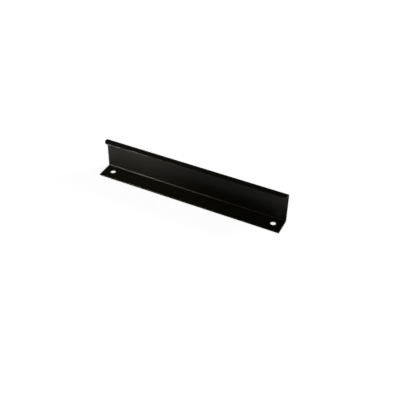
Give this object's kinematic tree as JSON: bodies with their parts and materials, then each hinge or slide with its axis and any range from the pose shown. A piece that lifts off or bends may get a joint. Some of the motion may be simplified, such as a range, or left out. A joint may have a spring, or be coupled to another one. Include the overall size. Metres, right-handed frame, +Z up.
{
  "type": "cabinet edge pull",
  "caption": "Long edge pull for a cabinet door or drawer, bent from one black coated sheet: a screw flange, an upright web and a finger lip with rounded corners.",
  "frame": {"origin": "midway between the two screw holes, on the underside of the flange", "axes": "+X along the pull, +Y from the flange's front edge towards the web's back face, +Z up from the flange to the lip"},
  "size_m": [0.2, 0.02, 0.0346],
  "materials": {
    "black_coat": "satin black powder coat"
  },
  "bodies": {
    "root": {"cabinet_pull": "black_coat"}
  },
  "joints": []
}
